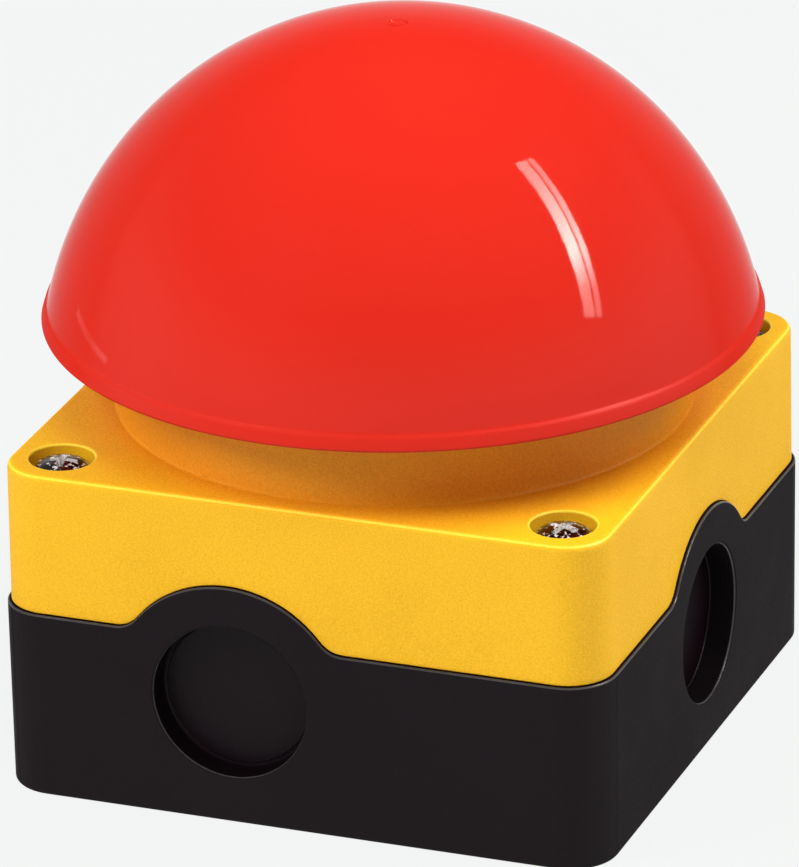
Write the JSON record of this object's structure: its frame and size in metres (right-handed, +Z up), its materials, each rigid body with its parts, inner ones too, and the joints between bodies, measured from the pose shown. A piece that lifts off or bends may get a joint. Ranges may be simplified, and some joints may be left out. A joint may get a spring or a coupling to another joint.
{
  "type": "foot push button",
  "caption": "Square two-part plastic housing with a large domed foot button over a round collar, spring return and enclosed switch contacts.",
  "frame": {"origin": "centre of the housing on the surface that it stands on", "axes": "+Z up along the dome axis, -Y towards the face with the offset cable entry, +X towards the face with the other cable entry"},
  "size_m": [0.096, 0.0959, 0.0984],
  "materials": {
    "housing_black": "satin",
    "cover_yellow": "fine matte grain",
    "dome_red": "gloss",
    "screw_steel": "plated",
    "spring_steel": "drawn wire",
    "carrier_steel": "plated",
    "insert_brass": "turned",
    "contact_metal": "stamped",
    "seal_rubber": "matte",
    "stem_plastic": "satin",
    "bush_plastic": "satin",
    "block_open": "satin",
    "block_closed": "satin"
  },
  "bodies": {
    "base": {"lower_housing": "housing_black", "housing_gasket": "seal_rubber", "upper_cover": "cover_yellow", "cover_screws": "screw_steel", "cover_screw_seals": "seal_rubber", "cover_inserts": "insert_brass", "guide_bush": "bush_plastic", "wiper_seal": "seal_rubber", "stop_washer": "seal_rubber", "return_spring": "spring_steel", "contact_carrier": "carrier_steel", "carrier_screws": "screw_steel", "contact_housing_open": "block_open", "contact_lid_open": "block_open", "contact_spring_open": "spring_steel", "terminal_strips_open": "contact_metal", "terminal_clamps_open": "screw_steel", "terminal_screws_open": "screw_steel", "contact_housing_closed": "block_closed", "contact_lid_closed": "block_closed", "contact_spring_closed": "spring_steel", "terminal_strips_closed": "contact_metal", "terminal_clamps_closed": "screw_steel", "terminal_screws_closed": "screw_steel"},
    "dome": {"dome": "dome_red", "dome_insert": "insert_brass", "plunger_stem": "stem_plastic", "actuator_plate": "stem_plastic", "dome_screw": "screw_steel"},
    "open_contact": {"contact_plunger_open": "stem_plastic", "contact_bridge_open": "contact_metal"},
    "closed_contact": {"contact_plunger_closed": "stem_plastic", "contact_bridge_closed": "contact_metal"}
  },
  "joints": [
    {"name": "dome_press", "type": "slide", "parent": "base", "child": "dome", "axis": [0, 0, -1], "range_m": [0, 0.006], "stiffness_N_per_m": 3500, "springref_m": -0.008, "deforming": ["return_spring"]},
    {"name": "open_contact_slide", "type": "slide", "parent": "base", "child": "open_contact", "axis": [0, 0, -1], "range_m": [0, 0.006], "stiffness_N_per_m": 250, "springref_m": -0.004, "deforming": ["contact_spring_open"]},
    {"name": "closed_contact_slide", "type": "slide", "parent": "base", "child": "closed_contact", "axis": [0, 0, -1], "range_m": [0, 0.006], "stiffness_N_per_m": 250, "springref_m": -0.004, "deforming": ["contact_spring_closed"]}
  ],
  "couplings": [
    {"joint": "open_contact_slide", "follows": "dome_press", "ratio": 1},
    {"joint": "closed_contact_slide", "follows": "dome_press", "ratio": 1}
  ]
}
